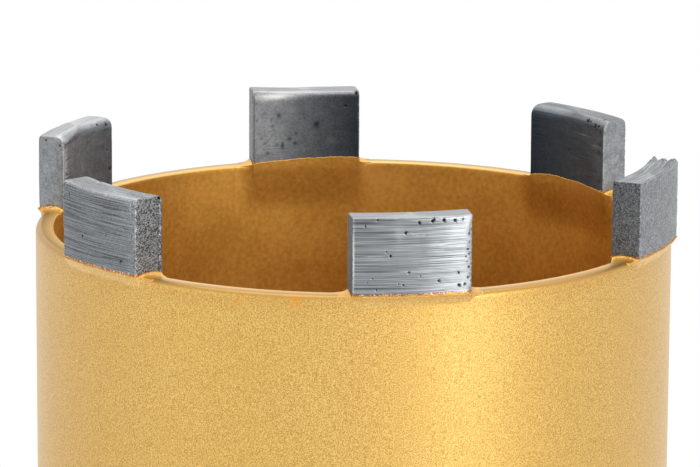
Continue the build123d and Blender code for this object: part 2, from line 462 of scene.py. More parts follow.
# %% Turned steel
def make_turned_steel():
    """Bare steel with fine lathe rings around the axis, dulled in patches."""
    material, node = new_material("turned steel")
    place = node("TexCoord", output="Object")
    *_, z, radius = around_axis(node, place)
    rings_place = node("CombineXYZ", radius, 0.0, z)
    rings = node("TexNoise", {"Vector": rings_place, "Scale": per(0.35), "Detail": 3.0})
    stain = node("TexNoise", {"Vector": place, "Scale": per(6), "Detail": 3.0})
    steel = node("Mix", {0: rings, 6: "#83878A", 7: "#B9BCBE"}, **COLOURS)
    dulled = node("MapRange", stain, 0.45, 0.7, 0.0, 0.45)
    metal = node(
        "BsdfPrincipled",
        {
            "Base Color": node("Mix", {0: dulled, 6: steel, 7: "#77716A"}, **COLOURS),
            "Metallic": 1.0,
            "Roughness": node("MapRange", rings, 0.3, 0.7, 0.24, 0.42),
            "Normal": node("Bump", {"Height": rings, "Strength": 0.4, "Distance": 0.02 * MM}),
        },
    )
    node("OutputMaterial", metal)
    return material


turned_steel = make_turned_steel()
print("made", turned_steel.name)


# %% Give a piece its finish and its place
def finish_piece(piece, material, slot, *replaced_nodes):
    """Gives the piece its material, smooths it, hides the nodes it replaces and lets it ride with the
    bit; slot is not used.
    """
    piece.data.materials.clear()
    piece.data.materials.append(material)
    select_only(piece)
    bpy.ops.object.shade_smooth()
    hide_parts(*replaced_nodes)
    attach(piece, "root")


# %% [markdown]
# ## The segments
# Each segment starts as its own section: a plane standing at the rim, with its two top corners
# bevelled by as much as wear has rounded them. Spinning the plane around the axis sweeps out a curved
# block, and two bisect cuts leave its ends flat and parallel. A voxel remesh then turns the block
# into an even skin of small faces, fine enough to carry pits, chips and grinding marks as real
# relief. All six are made facing -Y and turned to their places at the end.

# %% Block out a segment
skin = 0.12  # the size of a face of the remeshed skin
spin_steps = 40
crown_segments = 6


def bevel_where(piece, affect, width, chosen):
    """Bevels, width mm wide, the VERTICES or the EDGES whose points all satisfy chosen(x, y, z)."""
    edit_mesh(piece, "EDGE" if affect == "EDGES" else "VERT")
    leave_edit()
    inside = [chosen(*(v.co / MM)) for v in piece.data.vertices]
    if affect == "EDGES":
        for edge in piece.data.edges:
            edge.select = all(inside[i] for i in edge.vertices)
    else:
        for vertex in piece.data.vertices:
            vertex.select = inside[vertex.index]
    bpy.ops.object.mode_set(mode="EDIT")
    bpy.ops.mesh.bevel(
        offset=width * MM, segments=crown_segments, affect=affect, clamp_overlap=True
    )
    leave_edit()


def block_segment(name, extra, outer_crown, inner_crown, left_crown, right_crown):
    """A curved block facing -Y, extra thicker inwards, its top edges rounded by the four crowns."""
    bpy.ops.object.select_all(action="DESELECT")
    bpy.ops.mesh.primitive_plane_add(size=1)
    piece = bpy.context.object
    piece.name = name
    piece.rotation_euler = (0, math.pi / 2, 0)
    piece.scale = ((segment_top - segment_foot) * MM, (segment_thickness + extra) * MM, 1)
    middle = Vector((0, extra / 2 - (cutting_radius + inner_radius) / 2, 0))
    middle.z = (segment_top + segment_foot) / 2
    piece.location = middle * MM
    bpy.ops.object.transform_apply()
    reach = segment_thickness / 2 - 0.01
    for crown, side in ((outer_crown, -1), (inner_crown, 1)):
        on_corner = lambda x, y, z: z > segment_top - 0.01 and (y - middle.y) * side > reach
        bevel_where(piece, "VERTICES", crown, on_corner)
    half_angle = math.asin(half_length / (inner_radius - extra)) + math.radians(1.5)
    edit_mesh(piece)
    bpy.ops.mesh.select_all(action="SELECT")
    bpy.ops.mesh.spin(steps=spin_steps, angle=2 * half_angle, center=(0, 0, 0), axis=(0, 0, 1))
    leave_edit()
    sides = [math.atan2(v.co.x, -v.co.y) for v in piece.data.vertices]
    piece.data.transform(Matrix.Rotation(-(min(sides) + max(sides)) / 2, 4, "Z"))
    edit_mesh(piece)
    for side in (-1, 1):
        bpy.ops.mesh.select_all(action="SELECT")
        bpy.ops.mesh.bisect(
            plane_co=(side * half_length * MM, 0, 0),
            plane_no=(side, 0, 0),
            use_fill=True,
            clear_outer=True,
            threshold=0.0001 * MM,
        )
    bpy.ops.mesh.select_all(action="SELECT")
    bpy.ops.mesh.normals_make_consistent(inside=False)
    leave_edit()
    lowest_round = segment_top - max(outer_crown, inner_crown) - 0.02
    for crown, side in ((left_crown, -1), (right_crown, 1)):
        on_end = lambda x, y, z: x * side > half_length - 0.001 and z > lowest_round
        bevel_where(piece, "EDGES", crown, on_end)
    apply_modifier(piece, "REMESH", mode="VOXEL", voxel_size=skin * MM)
    return piece


# %% [markdown]
# Wear is painted on as weights, one vertex group for each kind, and a Displace modifier then moves
# the skin by weight: inwards for pits and chips, outwards for burrs. A cloud texture read through a
# stretched empty gives the long grinding marks, and an unstretched one the grain of the ends.


# %% Weights and displacement
def weigh(piece, name, weights):
    """Stores weights as a vertex group."""
    group = piece.vertex_groups.new(name=name)
    for index in np.nonzero(weights > 0.01)[0]:
        group.add([int(index)], float(weights[index]), "REPLACE")
    return group.name


def cloud(name, depth):
    """A cloud texture of unit grain, which a stretched empty brings to its real size."""
    texture = bpy.data.textures.new(name, "CLOUDS")
    texture.noise_scale = 1.0
    texture.noise_depth = depth
    return texture


def displace(piece, name, weights, height, texture=None, stretch=None, direction="NORMAL"):
    """Moves the weighted skin by height mm: all of it, or by a texture around its middle."""
    group = weigh(piece, name, weights)
    settings = {"vertex_group": group, "strength": height * MM, "direction": direction}
    settings["mid_level"] = 0.0
    if texture is not None:
        bpy.ops.object.select_all(action="DESELECT")
        bpy.ops.object.empty_add()
        ruler = bpy.context.object
        ruler.scale = [s * MM for s in stretch]
        bpy.context.view_layer.update()
        settings |= {"texture": texture, "texture_coords": "OBJECT", "mid_level": 0.5}
        settings["texture_coords_object"] = ruler
    apply_modifier(piece, "DISPLACE", **settings)
    if texture is not None:
        bpy.data.objects.remove(ruler)


wear_cloud = cloud("wear", 2)
grain_cloud = cloud("mould grain", 1)

# %% [markdown]
# Each segment was set by hand and wore in its own way, so each has its own row:
# - crowns: how far the top's outer, inner, left and right edge are rounded, in mm
# - lines: how deep the wheel's lines are on the outer and the inner face, in mm
# - set: how far it is turned in degrees, moved outwards in mm and thicker inwards in mm
# - lift: how far its top rises to the left and to the right end, in mm
# - softened: how long its corners were worn soft; lined: how much of it the wheel lined; grit: how
#   coarse its grain is
# - tone: how dark its metal is, partly its own tone and partly painted shade and painted highlight for
#   how the light falls on each face. The outer and the inner face have a tone at their left and at
#   their right end, and the top and the ends have one each. Below 0 it is paler
# - sheen: soft painted highlights on a face, or darker spots and streaks where the amount is below 0
# - pits: face, place along the rim, height above the rim, and size
# - chips: how chipped each upright corner is; burrs: the flakes on the top edge; scratches: their points

# %% How each segment wore
segment_wear = {
    "segment_1": {
        "crowns": (0.35, 0.9, 0.3, 1.1), "lines": (0.006, 0.03), "set": (0.0, 0.0, 0.0),
        "softened": 6, "lined": 1.0, "grit": 0.3,
        "tone_and_shade": {"out": (0.2, -0.06), "in": (0.45, 0.45), "top": -0.2, "left": 0.5, "right": 0.3},
        "painted_highlights_and_dark_spots": [
            ("out", -7.2, 11.35, 2.2, 0.22, -0.5), ("out", -8.0, 10.5, 1.4, 0.12, -0.5),
            ("out", -6.5, 9.4, 3.0, 0.08, -0.35), ("out", -3.0, 8.1, 5.0, 0.08, -0.25),
            ("out", 3.0, 3.6, 4.0, 0.08, -0.3), ("out", -5.0, 2.6, 3.5, 0.1, -0.25),
            ("out", -2.2, 9.6, 0.9, 1.6, 0.25), ("out", 1.6, 8.6, 0.9, 2.4, -0.15),
            ("out", 8.6, 11.2, 0.8, 1.2, 0.3), ("out", -8.85, 6.0, 0.16, 5.4, 0.9),
        ],
        "pits": [
            ("out", 0.9, 11.2, 0.42), ("out", 2.9, 11.5, 0.55), ("out", 3.1, 11.95, 0.25),
            ("out", 4.6, 11.5, 0.5), ("out", 6.3, 11.3, 0.42), ("out", 7.5, 11.5, 0.28),
            ("out", -1.1, 9.8, 0.42), ("out", -3.4, 6.3, 0.36), ("out", -4.0, 6.9, 0.22),
            ("out", -0.7, 3.8, 0.34), ("out", -5.4, 11.8, 0.34), ("out", -7.2, 10.8, 0.3),
            ("out", -1.5, 1.9, 0.28), ("out", -5.5, 1.3, 0.26), ("out", 3.9, 2.4, 0.36),
            ("out", 6.9, 3.4, 0.28), ("out", -6.1, 2.9, 0.2), ("out", 1.0, 3.2, 0.22),
            ("out", 7.0, 1.5, 0.4), ("out", 7.9, 1.6, 0.3), ("out", 8.5, 4.1, 0.26),
            ("out", 8.2, 5.0, 0.2), ("out", 8.6, 6.2, 0.3), ("out", 8.3, 6.9, 0.24),
            ("out", 8.6, 7.9, 0.22), ("out", 8.5, 9.2, 0.26), ("out", 8.0, 5.8, 0.2),
            ("out", 8.4, 2.6, 0.28), ("out", -6.8, 2.4, 0.16), ("out", -2.2, 2.1, 0.16),
        ],
        "chips": {"outer right": 0.7, "outer left": 0.25, "inner left": 0.2, "inner right": 0.3},
        "scratches": [[(-0.4, 9.75), (-0.1, 9.5), (0.5, 9.33), (1.2, 9.3), (1.7, 9.38)]],
    },
    "segment_2": {
        "crowns": (0.15, 0.3, 0.2, 0.3), "lines": (0.012, 0.03), "set": (-1.9, -0.15, 0.1),
        "softened": 6, "lined": 0.1, "grit": 0.75,
        "tone_and_shade": {"out": (0.0, 0.05), "in": (0.4, 0.4), "top": 0.0, "left": 0.5, "right": 0.3},
        "pits": [
            ("top", -2.1, -1.5, 0.6), ("top", -1.5, -0.8, 0.5), ("out", -7.6, 11.7, 0.5),
            ("end-", 46.6, 11.7, 0.7), ("in", 3.0, 8.5, 0.3), ("in", -4.5, 4.0, 0.35),
            ("out", 5.2, 7.4, 0.26),
        ],
        "chips": {"outer right": 0.5, "outer left": 0.3, "inner left": 0.3, "inner right": 0.2},
        "burrs": [
            (8.5, 50.4, 0.5, 0.7), (8.9, 49.9, 0.35, 0.3), (8.2, 48.9, 0.42, 0.75),
            (8.8, 48.5, 0.3, 0.35), (8.4, 47.2, 0.6, 0.55), (7.3, 47.0, 0.35, 0.8),
            (5.4, 50.5, 0.2, 0.8), (5.9, 46.9, 0.22, 0.6), (2.4, 50.6, 0.16, 0.9),
        ],
    },
    "segment_3": {
        "crowns": (1.2, 1.8, 0.7, 1.5), "lines": (0.03, 0.01), "set": (-1.0, 0.0, 0.45),
        "softened": 60, "lined": 0.45, "grit": 0.1,
        "tone_and_shade": {"out": (0.1, 0.1), "in": (0.66, 0.92), "top": 0.1, "left": 0.0, "right": 0.2},
        "painted_highlights_and_dark_spots": [
            ("in", -3.5, 8.9, 2.0, 0.12, 0.3), ("in", -6.8, 7.6, 1.2, 0.12, 0.4),
            ("in", -6.5, 7.2, 0.8, 0.1, 0.3),
        ],
        "pits": [
            ("in", -4.0, 11.6, 0.75), ("in", -4.8, 11.5, 0.45), ("in", -6.4, 10.9, 0.7),
            ("in", -7.4, 11.0, 0.5), ("top", -7.6, 1.6, 0.34), ("in", 0.3, 5.6, 0.25),
            ("out", -4.0, 9.0, 0.4), ("out", 3.5, 5.5, 0.35),
        ],
        "chips": {"outer right": 0.2, "outer left": 0.3, "inner left": 0.15, "inner right": 0.2},
    },
    "segment_4": {
        "crowns": (0.35, 1.1, 0.3, 0.3), "lines": (0.04, 0.02), "set": (0.0, 0.0, 0.0),
        "lift": (0.1, 0.5), "softened": 40, "lined": 0.3, "grit": 0.3,
        "tone_and_shade": {"out": (0.2, 0.2), "in": (0.9, 0.28), "top": -0.2, "left": 0.2, "right": 0.35},
        "painted_highlights_and_dark_spots": [
            ("in", 4.9, 11.4, 3.2, 0.6, 1.0), ("in", 0.0, 11.7, 9.0, 0.4, 0.3),
            ("in", 6.0, 5.0, 2.6, 2.6, 0.12), ("in", 4.6, 8.2, 0.35, 0.45, -0.4),
            ("in", 5.8, 7.5, 0.28, 0.3, -0.35), ("in", 8.3, 7.6, 0.3, 0.25, -0.3),
            ("in", 5.6, 6.5, 0.25, 0.3, -0.35), ("in", 6.9, 3.6, 0.3, 0.25, -0.35),
            ("in", 3.9, 3.1, 0.25, 0.7, -0.5), ("in", 2.7, 4.2, 0.4, 0.3, -0.4),
            ("in", 1.8, 3.4, 0.4, 0.3, -0.35), ("in", 4.9, 3.3, 0.3, 0.25, -0.35),
            ("in", 1.6, 5.1, 0.3, 0.3, -0.3), ("in", -1.8, 6.5, 0.5, 0.6, -0.3),
            ("in", -4.5, 3.8, 0.6, 0.4, 0.15), ("in", 6.4, 1.9, 0.3, 0.25, -0.35),
        ],
        "pits": [
            ("in", -6.6, 9.6, 0.34), ("in", -8.4, 11.9, 0.5), ("out", 2.0, 8.0, 0.4),
            ("out", -5.0, 3.0, 0.35),
        ],
        "chips": {"outer right": 0.3, "outer left": 0.2, "inner left": 0.35, "inner right": 0.2},
        "burrs": [(-8.5, 46.9, 0.25, 0.5)],
    },
    "segment_5": {
        "crowns": (0.45, 1.5, 0.7, 0.8), "lines": (0.02, 0.015), "set": (-3.0, -0.45, 0.1),
        "softened": 160, "lined": 0.2, "grit": 0.15,
        "tone_and_shade": {"out": (0.2, 0.2), "in": (0.55, 0.27), "top": -0.35, "left": 0.2, "right": 0.12},
        "painted_highlights_and_dark_spots": [("in", 8.4, 7.0, 0.9, 7.0, 0.7), ("in", 1.0, 6.0, 1.5, 2.0, 0.12)],
        "pits": [
            ("top", 3.2, 0.4, 0.55), ("in", -4.9, 11.6, 0.6), ("in", -7.2, 11.3, 0.65),
            ("in", -3.3, 10.4, 0.36), ("in", -8.0, 3.6, 0.55), ("in", -7.1, 6.9, 0.34),
            ("end+", 49.6, 11.3, 0.36), ("end+", 47.2, 10.6, 0.3), ("out", 0.0, 6.0, 0.4),
        ],
        "chips": {"outer right": 0.25, "outer left": 0.2, "inner left": 0.2, "inner right": 0.15},
    },
    "segment_6": {
        "crowns": (0.8, 0.9, 0.5, 0.6), "lines": (0.015, 0.03), "set": (0.0, 0.0, 0.7),
        "softened": 10, "lined": 0.8, "grit": 1.0,
        "tone_and_shade": {"out": (0.3, 0.27), "in": (0.4, 0.4), "top": -0.1, "left": 0.3, "right": 0.12},
        "painted_highlights_and_dark_spots": [("out", 3.0, 11.9, 7.0, 0.5, 0.4), ("out", 8.0, 11.0, 1.2, 1.2, 0.2)],
        "pits": [
            ("out", -6.9, 10.3, 0.45), ("out", -8.6, 9.6, 0.36), ("out", -3.2, 4.5, 0.45),
            ("out", -6.7, 3.4, 0.28), ("out", 5.9, 2.1, 0.5), ("out", 8.9, 2.7, 0.34),
            ("out", 1.7, 8.1, 0.24), ("out", 2.8, 5.6, 0.24), ("end+", 46.4, 11.7, 0.55),
            ("out", -8.7, 11.4, 0.3),
        ],
        "chips": {"outer right": 0.3, "outer left": 0.45, "inner left": 0.2, "inner right": 0.3},
        "burrs": [(-7.0, 50.6, 0.2, 0.5), (-4.0, 47.2, 0.22, 0.5)],
    },
}

# %% Where the pits, chips and burrs fall
def spot_centre(face, first, second, extra):
    """The middle of a pit, in mm, on the named face of a segment that faces -Y.

    first is the place along the rim, or the radius on an end; second is the height above the rim, or
    on the top the distance inwards from the middle of the wall."""
    if face == "top":
        reach = (cutting_radius + inner_radius) / 2 - second
        return first, -math.sqrt(reach**2 - first**2), segment_top
    if face in ("end-", "end+"):
        side = half_length if face == "end+" else -half_length
        return side, -math.sqrt(first**2 - side**2), rim_level + second
    wall = cutting_radius if face == "out" else inner_radius - extra
    return first, -math.sqrt(wall**2 - first**2), rim_level + second


pit_scale = 0.56  # from a pit's size in the table to the radius of its ragged outline


def pit_weights(points, pits, seed, extra):
    """1 in the middle of each pit and 0 outside it, with a ragged outline."""
    random = np.random.default_rng(seed)
    weights = np.zeros(len(points))
    for face, first, second, size in pits:
        wanted = np.array(spot_centre(face, first, second, extra))
        nearest = np.argmin(np.linalg.norm(points - wanted, axis=1))
        offset = points - points[nearest]
        distance = np.linalg.norm(offset, axis=1)
        turn = np.arctan2(offset[:, 2], offset[:, 0] + offset[:, 1])
        ragged = 1 + 0.25 * np.sin(2 * turn + random.uniform(0, 6))
        ragged += 0.18 * np.sin(3 * turn + random.uniform(0, 6))
        reach = distance / (pit_scale * size * ragged)
        weights = np.maximum(weights, 1 - smooth_step(0.35, 1.0, reach))
    return weights


def chip_weights(points, chips, seed):
    """Broken bits along the four upright corners: a row of small bites of random size and depth."""
    random = np.random.default_rng(seed)
    radius = np.hypot(points[:, 0], points[:, 1])
    weights = np.zeros(len(points))
    for corner, amount in chips.items():
        wall = cutting_radius if corner.startswith("outer") else inner_radius
        side = half_length if corner.endswith("right") else -half_length
        near = np.hypot(radius - wall, points[:, 0] - side)
        level = rim_level + 0.6
        while level < segment_top:
            size = random.uniform(0.15, 0.55) * (0.6 + amount)
            bite = min(amount, 0.4) * random.uniform(0.1, 1.0)
            reach = np.hypot(near, points[:, 2] - level) / size
            weights = np.maximum(weights, bite * (1 - smooth_step(0.2, 1.0, reach)))
            level += random.uniform(0.25, 0.7)
    return weights


def scratch_weights(points, scratches, width):
    """1 along each thin scratch on the outer face, given as points (along the rim, height)."""
    weights = np.zeros(len(points))
    outer = np.hypot(points[:, 0], points[:, 1]) > cutting_radius - 0.4
    for scratch in scratches:
        for start, stop in zip(scratch[:-1], scratch[1:]):
            line = np.array(stop) - np.array(start)
            offset = points[:, [0, 2]] - np.array(start) - (0, rim_level)
            part = np.clip(offset @ line / (line @ line), 0, 1)
            distance = np.linalg.norm(offset - part[:, None] * line, axis=1)
            weights = np.maximum(weights, outer * (1 - smooth_step(0.3, 1.0, distance / width)))
    return weights


def burr_weights(points, burrs):
    """Upstanding flakes on the top edge: each burr is (along the rim, radius, height, width)."""
    radius = np.hypot(points[:, 0], points[:, 1])
    weights = np.zeros(len(points))
    for first, reach, height, width in burrs:
        spread = np.hypot((points[:, 0] - first) / width, (radius - reach) / 0.6)
        spread = np.hypot(spread, (points[:, 2] - segment_top) / 0.9)
        weights = np.maximum(weights, height * (1 - smooth_step(0.1, 1.0, spread)))
    return weights


def highlight_and_dark_spot_weights(points, highlights_and_dark_spots, outwards):
    """Soft spots of painted highlight or, if the amount is negative, darker spots and streaks.

    Each spot is (face, along the rim, height, half width, half height, amount)."""
    weights = np.zeros(len(points))
    for face, along, height, half_width, half_height, amount in highlights_and_dark_spots:
        faces_it = np.clip(1.5 * outwards if face == "out" else -1.5 * outwards, 0, 1)
        sideways = (points[:, 0] - along) / half_width
        upwards = (points[:, 2] - rim_level - height) / half_height
        weights += faces_it * amount * np.exp(-(sideways**2) - upwards**2)
    return weights


def face_tones_and_shade(points, normals, tone_and_shade):
    """How dark each point is: each face's own tone, with its painted shade and painted highlight, mixed
    by which way the point faces.
    """
    sideways = np.clip(points[:, 0] / half_length, -1, 1) / 2 + 0.5
    radius = np.hypot(points[:, 0], points[:, 1])
    outwards = (normals[:, 0] * points[:, 0] + normals[:, 1] * points[:, 1]) / radius
    faces = {
        "out": np.clip(outwards, 0, 1),
        "in": np.clip(-outwards, 0, 1),
        "top": np.clip(normals[:, 2], 0, 1),
        "left": np.clip(-normals[:, 0], 0, 1),
        "right": np.clip(normals[:, 0], 0, 1),
    }
    total = np.zeros(len(points))
    weight = np.full(len(points), 1e-6)
    for face, facing in faces.items():
        if face in ("out", "in"):
            left, right = tone_and_shade[face]
            value = left + (right - left) * sideways
        else:
            value = tone_and_shade[face]
        total += value * facing**4
        weight += facing**4
    return total / weight


# %% Make one worn segment
unevenness = 0.06  # how far the whole skin is out of true
top_mark_depth = 0.07
end_grain_depth = 0.08
pit_depth = 0.55
chip_depth = 0.45
scratch_width = 0.12


def wear_segment(name, wear, seed):
    """Blocks out a segment, wears it, stores its masks and turns it to its place on the rim."""
    turn, outwards_shift, extra = wear["set"]
    piece = block_segment(name + "_worn", extra, *wear["crowns"])
    points = read_points(piece)
    normals = read_points(piece, "normal")
    radius = np.hypot(points[:, 0], points[:, 1])
    outwards = (normals[:, 0] * points[:, 0] + normals[:, 1] * points[:, 1]) / radius
    outer = smooth_step(0.75, 0.95, outwards)
    inner = smooth_step(0.75, 0.95, -outwards)
    end = smooth_step(0.75, 0.95, np.abs(normals[:, 0]))
    top = smooth_step(0.6, 0.9, normals[:, 2])
    near_end = np.abs(half_length - np.abs(points[:, 0]))
    near_wall = np.minimum(np.abs(radius - cutting_radius), np.abs(radius - inner_radius + extra))
    near_top = np.abs(segment_top - points[:, 2])
    corner = np.minimum.reduce(
        [np.hypot(near_end, near_wall), np.hypot(near_end, near_top), np.hypot(near_wall, near_top)]
    )
    corner_group = weigh(piece, "corners", 1 - smooth_step(0.6, 1.6, corner))
    apply_modifier(
        piece, "SMOOTH", factor=0.5, iterations=wear["softened"], vertex_group=corner_group
    )
    points = read_points(piece)
    height = points[:, 2] - segment_foot
    left_lift, right_lift = wear.get("lift", (0, 0))
    lift = np.where(points[:, 0] < 0, left_lift, right_lift) * (points[:, 0] / half_length) ** 2
    points[:, 2] += lift * height / (segment_top - segment_foot)
    write_points(piece, points)
    pits = pit_weights(points, wear["pits"], seed, extra)
    chips = chip_weights(points, wear["chips"], seed + 50)
    burrs = burr_weights(points, wear.get("burrs", []))
    edge = np.clip(1 - np.maximum.reduce([outer, inner, end, top]), 0, 1)
    outer_depth, inner_depth = wear["lines"]
    roughness = 0.3 + 0.7 * wear["grit"]
    everywhere = np.ones(len(points))
    displace(piece, "all", everywhere, unevenness, wear_cloud, (4, 4, 3))
    displace(piece, "outer", outer, outer_depth, wear_cloud, (5, 5, 0.35))
    displace(piece, "inner", inner, inner_depth, wear_cloud, (5, 5, 0.35))
    displace(piece, "top", top, top_mark_depth * roughness, wear_cloud, (3.5, 0.5, 3))
    displace(piece, "end", end, end_grain_depth * roughness, grain_cloud, (0.4, 0.4, 0.4))
    displace(piece, "chips", chips, -chip_depth)
    displace(piece, "pits", pits, -pit_depth)
    if "burrs" in wear:
        displace(piece, "burrs", burrs, 1.0, direction="Z")
    piece.vertex_groups.clear()
    # Beside a chipped corner the wheel has left the grain bare.
    speckled = wear["chips"]["outer right"] * outer * smooth_step(7.4, 8.5, points[:, 0])
    ground = np.clip(outer + inner + 0.8 * top, 0, 1) * (1 - 0.35 * wear["grit"] ** 2)
    scratches = scratch_weights(points, wear.get("scratches", []), scratch_width)
    # Corners, chips and scratches are brightened: real wear, and on the corners also a painted
    # highlight.
    worn_edge_and_highlight = 0.6 * edge + 0.4 * chips + scratches + 0.5 * speckled
    # Each face's tone, partly painted shade and painted highlight for how the light falls on it.
    tones_and_shade = face_tones_and_shade(points, normals, wear["tone_and_shade"])
    masks = {
        # painted shade in the pits
        "pit_shade": np.clip(1.3 * pits, 0, 1),
        "ground": ground * (1 - speckled),
        "lined": np.maximum(wear["lined"] - 0.75 * speckled, 0.8 * top),
        "grit": np.maximum(wear["grit"], speckled),
        "edge": np.clip(worn_edge_and_highlight, 0, 1),
        # the tone, with the painted highlights and the darker spots
        "tone_and_shade": tones_and_shade - highlight_and_dark_spot_weights(points, wear.get("painted_highlights_and_dark_spots", []), outwards),
    }
    for mask_name, values in masks.items():
        attribute = piece.data.attributes.new(mask_name, "FLOAT", "POINT")
        attribute.data.foreach_set("value", values.astype(np.float32))
    middle = Matrix.Translation(Vector((0, -(cutting_radius + inner_radius) / 2, 0)) * MM)
    turned = middle @ Matrix.Rotation(math.radians(turn), 4, "Z") @ middle.inverted()
    moved = Matrix.Translation(Vector((0, -outwards_shift, 0)) * MM)
    placed = Matrix.Rotation(math.radians(segment_pitch) * seed, 4, "Z")
    piece.data.transform(placed @ moved @ turned)
    finish_piece(piece, sintered_metal, "sintered_segment", name)
    return piece


for seed, name in enumerate(segment_nodes):
    segment = wear_segment(name, segment_wear[name], seed)
    print(segment.name, len(segment.data.polygons), "faces")

# %% [markdown]
# ## The barrel
# The barrel is a plain tube, but a painted one: its rim is softly rounded by the paint, and neither
# the wall nor the rim is dead straight. A ring of the tube's section, rolled around the axis, gives
# the wall and both rounds at once. Waves of a few hundredths of a millimetre keep it from looking
# like a perfect cylinder. Braze and paint have built up on the wall below each segment, so there the
# wall swells softly inwards.

# %% Roll the barrel
weld_groove = 1.8
rim_outer_round = 0.9
rim_inner_round = 0.35


def corner_arc(centre, radius, start, stop, count):
    """Points of a round corner in the section plane, from start to stop in degrees."""
    angles = np.radians(np.linspace(start, stop, count))
    return [(centre[0] + radius * math.cos(a), centre[1] + radius * math.sin(a)) for a in angles]


barrel_section = [(bore_radius, foot_level), (barrel_radius - weld_groove, foot_level)]
barrel_section += [(barrel_radius, foot_level + weld_groove)]
barrel_section += [(barrel_radius, z) for z in np.linspace(foot_level + 20, rim_level - 6, 5)]
barrel_section += [(barrel_radius, z) for z in np.linspace(rim_level - 5, rim_level - 1.2, 8)]
barrel_section += corner_arc(
    (barrel_radius - rim_outer_round, rim_level - rim_outer_round), rim_outer_round, 0, 90, 9
)
barrel_section += [(r, rim_level) for r in np.linspace(barrel_radius - 1.2, bore_radius + 0.6, 5)]
barrel_section += corner_arc(
    (bore_radius + rim_inner_round, rim_level - rim_inner_round), rim_inner_round, 90, 180, 6
)
barrel_section += [(bore_radius, z) for z in np.linspace(rim_level - 0.9, rim_level - 10, 12)]
barrel_section += [(bore_radius, z) for z in np.linspace(rim_level - 30, foot_level, 5)]


build_up_reach = 8.0  # how far below the rim the wall swells


def beside_segment(along):
    """1 along a segment, fading to 0 a few millimetres beyond its ends."""
    return 1 - smooth_step(half_length - 1.0, half_length + 3.0, np.abs(along))


def build_up(angle):
    """How far the wall swells inwards at the rim: up to the inner face of the nearest segment."""
    pitch = math.radians(segment_pitch)
    nearest = np.round(angle / pitch).astype(int)
    along = (angle - nearest * pitch) * bore_radius
    settings = np.array([segment_wear[name]["set"] for name in segment_nodes])
    turn, outwards_shift, extra = settings[nearest % len(segment_nodes)].T
    offset = outwards_shift - np.sin(np.radians(turn)) * along
    return (bore_radius - inner_radius + extra - offset) * beside_segment(along)


def barrel_shape(u, t):
    """The section swept around the axis, a little wavy, and swollen inwards below each segment."""
    angle = 2 * math.pi * u
    rows = np.linspace(0, 1, len(barrel_section))
    radius = np.interp(t, rows, [r for r, z in barrel_section])
    level = np.interp(t, rows, [z for r, z in barrel_section])
    near_rim = smooth_step(rim_level - 2, rim_level, level)
    inwards = smooth_step(bore_radius + 1.5, bore_radius, radius)
    below = 1 - smooth_step(0, build_up_reach, rim_level - level)
    radius = radius - inwards * below * build_up(angle)
    radius = radius + 0.03 * waves(angle, 3, 9) + 0.02 * near_rim * waves(angle, 4, 60, 0.2)
    level = level + near_rim * (0.03 * waves(angle, 5, 12) + 0.02 * waves(angle, 6, 90, 0.1))
    return radius * np.sin(angle), -radius * np.cos(angle), level


barrel = roll_grid("barrel_painted", 720, len(barrel_section) - 1, barrel_shape)
finish_piece(barrel, gold_paint, "gold_paint", "barrel")
print("barrel:", len(barrel.data.polygons), "faces")

# %% [markdown]
# ## The braze
# Silver braze is drawn into the joint when it melts. It fills the gap under the segment, climbs its
# faces a little, runs out along the rim in a hollow fillet at each end, and leaves a soft bead down
# both sides of the wall. Its section changes along the rim, so the grid is rolled around the
# section, and each station along the rim works out its own heights. Paint covers it.

# %% Roll the braze under one segment
braze_end_run = 2.2  # how far the end fillets run along the rim
braze_end_height = 1.3  # how high they climb the middle of a segment's end
outer_lip = 0.22  # how high the braze stands on the outer face
inner_lip = 0.3
lip_unevenness = 0.08
inner_arch = 0.7  # how much higher the paint stands on the inner face where it stands highest
highest_at = [0.0, 0.0, 5.0, -8.4, 2.0, 0.0]  # where along each segment that is
outer_drop = 1.8  # how far the bead runs down the wall
inner_drop = 4.0
sink = 0.05  # how far a bead's edge is sunk into the wall it fades into
proud = 0.05  # how far the bead's lip stands over the segment's face


